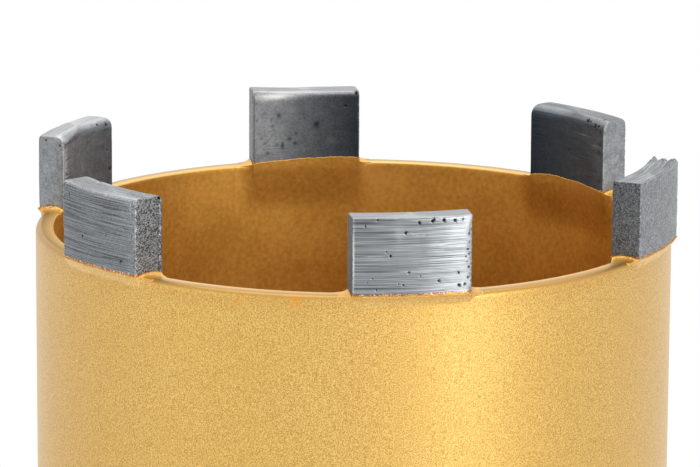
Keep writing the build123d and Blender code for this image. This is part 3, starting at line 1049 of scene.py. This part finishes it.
def braze_shape(seed, turn, outwards_shift, extra):
    """The shape of one bead: u goes around its section in four quarters, and t along the rim."""
    random = np.random.default_rng(seed + 20)
    phases = random.uniform(0, 2 * math.pi, 12)
    lean = random.uniform(0.8, 1.15, 2)
    highest = highest_at[seed]

    def wobble(along, first):
        """An uneven edge along the rim, about -1 to 1."""
        slow = np.sin(1.1 * along + phases[first])
        quick = np.sin(3.7 * along + phases[first + 1]) + np.sin(8.3 * along + phases[first + 2])
        return 0.5 * slow + 0.35 * quick

    def shape(u, t):
        along = (2 * t - 1) * (half_length + braze_end_run)
        beyond = np.clip((np.abs(along) - half_length) / braze_end_run, 0, 1)
        hollow = 1 - np.sqrt(1 - (1 - beyond) ** 2)
        fade = np.where(np.abs(along) > half_length, hollow, 1.0)
        sunk = -sink * (1 - fade)
        offset = outwards_shift - math.sin(math.radians(turn)) * along
        stand_out = (cutting_radius - barrel_radius + proud + offset) * fade + sunk
        overhang = bore_radius - inner_radius + extra - offset
        wall_in = overhang * beside_segment(along)
        stand_in = np.maximum(wall_in, overhang * fade) + proud * fade + sunk
        out_lip = rim_level + (outer_lip + lip_unevenness * wobble(along, 0)) * fade + sunk
        arch_reach = np.where(along > highest, half_length - highest, half_length + highest)
        arched = np.clip(1 - ((along - highest) / arch_reach) ** 2, 0, 1)
        in_lip = inner_lip + inner_arch * arched + lip_unevenness * wobble(along, 3)
        in_lip = rim_level + in_lip * fade + sunk
        run_down = outer_drop * (0.25 + 0.75 * np.sqrt(fade)) * (1 + 0.12 * wobble(along, 6))
        out_foot = rim_level - run_down
        in_foot = rim_level - inner_drop
        side = np.where(along > 0, lean[0], lean[1])
        arch = rim_level + braze_end_height * side * hollow - sink * (1 - hollow)
        quarter = u * 4
        outer_part = np.clip(quarter, 0, 1)
        top_part = np.clip(quarter - 1, 0, 1)
        inner_part = np.clip(quarter - 2, 0, 1) ** 1.3
        back_part = np.clip(quarter - 3, 0, 1)
        # Outside the bead is hollow. Inside it lies on the swollen wall and sinks slowly into it.
        out_wide = np.clip(outer_part / 0.92, 0, 1) ** 1.7
        inner_level = in_lip + (in_foot - in_lip) * inner_part
        swollen = 1 - smooth_step(0, build_up_reach, rim_level - inner_level)
        outer_face = barrel_radius - sink + (stand_out + sink) * out_wide
        over_wall = (stand_in - wall_in) * (1 - inner_part) - sink * inner_part
        inner_face = bore_radius - wall_in * swollen - over_wall
        inner_toe = bore_radius - wall_in * (1 - smooth_step(0, build_up_reach, inner_drop)) + sink
        outer_top = barrel_radius + stand_out
        inner_top = bore_radius - stand_in
        bulge = np.sin(math.pi * top_part) ** 0.6
        lip_line = out_lip + (in_lip - out_lip) * top_part
        crown = np.where(np.abs(along) > half_length, np.maximum(arch - lip_line, 0) * bulge, 0)
        # Over the segment the bead's two lips are thin, and between them it lies inside the solid.
        under = np.where(np.abs(along) < half_length, 1.0, 0.0)
        dip = under * np.minimum(np.minimum(top_part, 1 - top_part) / 0.06, 1) * 0.5
        radius = np.select(
            [quarter <= 1, quarter <= 2, quarter <= 3],
            [outer_face, outer_top + (inner_top - outer_top) * top_part, inner_face],
            inner_toe + (barrel_radius - sink - inner_toe) * back_part,
        )
        level = np.select(
            [quarter <= 1, quarter <= 2, quarter <= 3],
            [
                out_foot + (out_lip - out_foot) * outer_part,
                lip_line + crown - dip,
                inner_level,
            ],
            in_foot + (out_foot - in_foot) * back_part,
        )
        angle = math.radians(segment_pitch) * seed + along / radius
        return radius * np.sin(angle), -radius * np.cos(angle), level

    return shape


for seed, name in enumerate(segment_nodes):
    braze_name = name.replace("segment", "braze")
    section = braze_shape(seed, *segment_wear[name]["set"])
    braze = roll_grid(braze_name + "_bead", 92, 130, section, close_ends=True)
    everywhere = np.ones(len(braze.data.vertices))
    displace(braze, "all", everywhere, 0.03, grain_cloud, (0.9, 0.9, 0.9))
    braze.vertex_groups.clear()
    finish_piece(braze, braze_paint, "braze", braze_name)
    print(braze.name, len(braze.data.polygons), "faces")

# %% [markdown]
# ## The hub's thread
# The solids leave the hub's bore plain at the tapping size. Cutting a thread takes metal away from
# it, so the bore of a copy of the hub is opened with a boolean, and a liner that carries the thread
# goes in. The liner is a tube whose inner skin moves in and out with the height minus the turn,
# which is all that a screw thread is: a groove that climbs one pitch in each turn.

# %% Open a copy of the hub
thread_pitch = 25.4 / 7
thread_minor_radius = 14.1
thread_major_radius = 15.875
thread_length = 28.0
mouth_chamfer = 2.0
liner_radius = 16.3

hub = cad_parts["hub"].copy()
hub.data = hub.data.copy()
hub.name = "hub_threaded"
hub.parent = None
for key in list(hub.keys()):
    del hub[key]
bpy.context.scene.collection.objects.link(hub)
edit_mesh(hub)
bpy.ops.mesh.select_all(action="SELECT")
bpy.ops.mesh.remove_doubles(threshold=0.001 * MM)
leave_edit()
bpy.ops.object.select_all(action="DESELECT")
bpy.ops.mesh.primitive_cylinder_add(
    vertices=192, radius=(liner_radius - 0.02) * MM, depth=2 * thread_length * MM
)
drill = bpy.context.object
apply_modifier(hub, "BOOLEAN", operation="DIFFERENCE", object=drill, solver="EXACT")
bpy.data.objects.remove(drill)
select_only(hub)
bpy.ops.mesh.customdata_custom_splitnormals_clear()
print("hub:", len(hub.data.polygons), "faces after boring")

# %% Roll the thread
def thread_shape(u, t):
    """The threaded inner skin for the first part of t, then back up the liner's outside."""
    angle = -2 * math.pi * u
    inside = t < 0.9
    level = np.where(inside, thread_length * t / 0.9, thread_length * (1 - t) / 0.1)
    phase = (level / thread_pitch - u) % 1.0
    ridge = np.clip(1.35 - 3.1 * np.abs(phase - 0.5), 0, 1)
    groove = thread_major_radius - (thread_major_radius - thread_minor_radius) * ridge
    mouth = thread_minor_radius + mouth_chamfer - level
    run_out = smooth_step(thread_length - 2.5, thread_length, level)
    skin_radius = np.maximum(groove, mouth) * (1 - run_out) + thread_major_radius * run_out
    radius = np.where(inside, skin_radius, liner_radius)
    return radius * np.sin(angle), -radius * np.cos(angle), level


thread = roll_grid("thread_liner", 160, 200, thread_shape)
print("thread:", len(thread.data.polygons), "faces")

# %% [markdown]
# The outside of the hub is painted with the barrel, and its end face, where the drill's spindle seats,
# is turned bare with the thread. A face is bare if it belongs to the liner or lies on the end plane.

# %% Join and finish the hub
thread.data.materials.append(turned_steel)
finish_piece(hub, gold_paint, "hub_steel", "hub")
hub.data.materials.append(turned_steel)
end_plane = 0.05
for face in hub.data.polygons:
    on_end = max(hub.data.vertices[i].co.z for i in face.vertices) < end_plane * MM
    reach = math.hypot(face.center.x, face.center.y) / MM
    in_bore = reach < liner_radius + 0.3
    face.material_index = 1 if on_end or in_bore else 0
select_only(hub)
thread.select_set(True)
bpy.ops.object.join()
bpy.ops.object.shade_smooth_by_angle(angle=math.radians(20))
print("hub with thread:", len(hub.data.polygons), "faces")

# %% [markdown]
# ## The weld beads
# Two welds hold the back end together. A welded bead is a row of overlapping puddles, so its surface
# shows crescents, one every two millimetres or so. Each bead is a ring with a rounded outside, and
# the crescents are a ripple that runs around it, delayed towards the bead's edges.

# %% Roll a weld bead
def bead_shape(corner_points, crown, ripple_mm, ripple_height, seed):
    """A ring whose section runs from the first to the last point over a bulge, and back by the root.

    corner_points are (radius, level): the bead's first toe, its root and its last toe."""
    first, root, last = (np.array(p) for p in corner_points)
    middle_radius = (first[0] + last[0]) / 2
    ripples = round(2 * math.pi * middle_radius / ripple_mm)
    outwards = (first + last) / 2 - root
    outwards = outwards / np.linalg.norm(outwards)

    def shape(u, t):
        angle = 2 * math.pi * u
        over = np.clip(t / 0.8, 0, 1)
        under = np.clip((t - 0.8) / 0.2, 0, 1)
        bulge = np.sin(math.pi * over) ** 0.8
        crescent = (u * ripples + 0.9 * (2 * over - 1) ** 2 + 0.25 * waves(angle, seed, 7)) % 1.0
        lift = crown * bulge * (1 + 0.12 * waves(angle, seed + 1, 23, 0.2))
        lift = lift + ripple_height * bulge * (1 - (2 * crescent - 1) ** 2)
        span = first[None, :] + (last - first)[None, :] * over[:, None]
        surface = span + outwards[None, :] * lift[:, None]
        back = np.where(
            under[:, None] < 0.5,
            last + (root - last) * 2 * under[:, None],
            root + (first - root) * (2 * under[:, None] - 1),
        )
        section = np.where((t < 0.8)[:, None], surface, back)
        return section[:, 0] * np.sin(angle), -section[:, 0] * np.cos(angle), section[:, 1]

    return shape


flange_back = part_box("base_plate")[0].z / MM
hub_body_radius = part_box("hub")[1].y / MM
hub_weld_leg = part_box("hub_weld")[1].x / MM - hub_body_radius
base_toes = [
    (barrel_radius - 0.05, foot_level - weld_groove - 0.1),
    (barrel_radius - weld_groove, foot_level),
    (barrel_radius - 0.05, foot_level + weld_groove + 0.1),
]
hub_toes = [
    (hub_body_radius - 0.1, flange_back - hub_weld_leg),
    (hub_body_radius - 0.3, flange_back + 0.3),
    (hub_body_radius + hub_weld_leg, flange_back + 0.1),
]
base_weld = roll_grid("base_weld_bead", 1200, 20, bead_shape(base_toes, 0.5, 2.2, 0.12, 31))
finish_piece(base_weld, gold_paint, "gold_paint", "base_weld")
hub_weld = roll_grid("hub_weld_bead", 640, 20, bead_shape(hub_toes, 0.6, 2.2, 0.18, 37))
finish_piece(hub_weld, gold_paint, "gold_paint", "hub_weld")
print("weld beads:", len(base_weld.data.polygons) + len(hub_weld.data.polygons), "faces")

# %% [markdown]
# ## The base plate
# The base plate's solid already has its true shape, a turned disc with a spigot inside the barrel, so
# it stays and only gets the paint.

# %% Paint the base plate
base_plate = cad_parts["base_plate"]
base_plate.data.materials.clear()
base_plate.data.materials.append(gold_paint)
print("painted", base_plate.name)

# %% [markdown]
# ## Floor and surroundings
# The bit stands on a pale floor in a white room. The floor is a matt white that takes the bit's soft
# shadow, and away from the bit it turns into plain white for everything that looks at it or mirrors
# it, so there is no horizon. The world is white to look at and in reflections, and dimmer as light.

# %% White surroundings
shadow_reach = 260.0
white_from = 520.0
mirror_reach = 30.0  # the paint mirrors a floor that is white from closer in
mirror_white = 110.0
floor_radius = 6000.0
world_light = 0.6


def seen_or_mirrored(node):
    """1 for rays from the camera and in reflections and glass, and 0 for light that falls on things."""
    rays = node("LightPath").node.outputs
    mirrored = node("Math", rays["Is Glossy Ray"], rays["Is Transmission Ray"], operation="MAXIMUM")
    return node("Math", rays["Is Camera Ray"], mirrored, operation="MAXIMUM")


def make_floor_material():
    """Matt white near the bit, and plain white away from it for what looks at it or mirrors it."""
    material, node = new_material("matt white floor")
    place = node("TexCoord", output="Object")
    reach = node("VectorMath", place, operation="LENGTH", output="Value")
    glossy = node("LightPath", output="Is Glossy Ray")
    from_here = node("Mix", {0: glossy, 2: shadow_reach * MM, 3: mirror_reach * MM})
    to_there = node("Mix", {0: glossy, 2: white_from * MM, 3: mirror_white * MM})
    away = node("MapRange", reach, from_here, to_there, interpolation_type="SMOOTHSTEP")
    factor = node("Math", away, seen_or_mirrored(node), operation="MULTIPLY")
    matt = node("BsdfDiffuse", {"Color": "#F4F4F4"})
    white = node("Emission", {"Color": "#FFFFFF", "Strength": 1.0})
    node("OutputMaterial", node("MixShader", factor, matt, white))
    return material


bpy.ops.object.select_all(action="DESELECT")
bpy.ops.mesh.primitive_circle_add(vertices=128, radius=floor_radius * MM, fill_type="NGON")
floor = bpy.context.object
floor.name = "floor"
floor.data.materials.append(make_floor_material())

world = bpy.data.worlds.new("white room")
world.use_nodes = True
world.node_tree.nodes.clear()
bpy.context.scene.world = world
node = partial(add, world.node_tree)
strength = node("MapRange", {0: seen_or_mirrored(node), 3: world_light, 4: 1.0})
node("OutputWorld", node("Background", {"Color": "#FFFFFF", "Strength": strength}))
print("floor and world:", floor.name, "and", world.name)

# %% [markdown]
# ## Camera
# The view transform is Standard, which shows a plain white as white and a colour as it is written.
# The camera looks down at the rim at a shallow angle, from three quarters of a metre away, through a
# long lens, so that the rim is a flat ellipse and the barrel's sides hardly converge. Bearings are
# degrees around the axis, from -Y towards +X.

# %% Place the camera
camera_bearing = -10.0
camera_distance = 749.65
camera_height = rim_level + 167.1
camera_pitch = 12.69
camera_turn = 0.042
camera_roll = 0.329


def around(bearing, distance, height):
    """A place at a bearing from the axis, as a vector in metres."""
    angle = math.radians(bearing)
    return Vector((distance * math.sin(angle), -distance * math.cos(angle), height)) * MM


camera_data = bpy.data.cameras.new("camera")
camera_data.sensor_width = 36.0
camera_data.lens = 250.78
camera_data.clip_start = 0.05
camera = bpy.data.objects.new("camera", camera_data)
bpy.context.scene.collection.objects.link(camera)
camera.matrix_world = (
    Matrix.Translation(around(camera_bearing, camera_distance, camera_height))
    @ Matrix.Rotation(math.radians(camera_bearing + camera_turn), 4, "Z")
    @ Matrix.Rotation(math.radians(90 - camera_pitch), 4, "X")
    @ Matrix.Rotation(math.radians(camera_roll), 4, "Z")
)
bpy.context.scene.camera = camera
bpy.context.scene.view_settings.view_transform = "Standard"
print("camera at", [round(value, 4) for value in camera.location])

# %% [markdown]
# ## Lamps
# Four soft lamps, as in a small product studio: a tall, narrow key from the front right, which puts
# the bright upright band on the front segment, a weak fill from the left, a large lamp above and a
# little behind that brightens the tops and opens up the inside of the tube, and a low one in front
# that stands for the light a white table throws back up.


# %% Hang the lamps
def hang_lamp(name, bearing, distance, height, width, tall, power):
    """An area lamp, width by tall in mm, that looks at the middle of the rim."""
    lamp_data = bpy.data.lights.new(name, "AREA")
    lamp_data.shape = "RECTANGLE"
    lamp_data.size = width * MM
    lamp_data.size_y = tall * MM
    lamp_data.energy = power
    lamp = bpy.data.objects.new(name, lamp_data)
    bpy.context.scene.collection.objects.link(lamp)
    lamp.location = around(bearing + camera_bearing, distance, height)
    aim = Vector((0, 0, rim_level * MM)) - lamp.location
    lamp.rotation_euler = aim.to_track_quat("-Z", "Y").to_euler()
    lamp.visible_camera = False


hang_lamp("key", 38, 900, 420, 200, 800, 4.0)
hang_lamp("fill", -65, 1000, 420, 700, 700, 1.0)
hang_lamp("overhead", 180, 250, 1300, 900, 900, 4.0)
hang_lamp("bounce", 0, 600, 40, 1400, 300, 0.25)
print("lamps:", [lamp.name for lamp in bpy.data.lights])
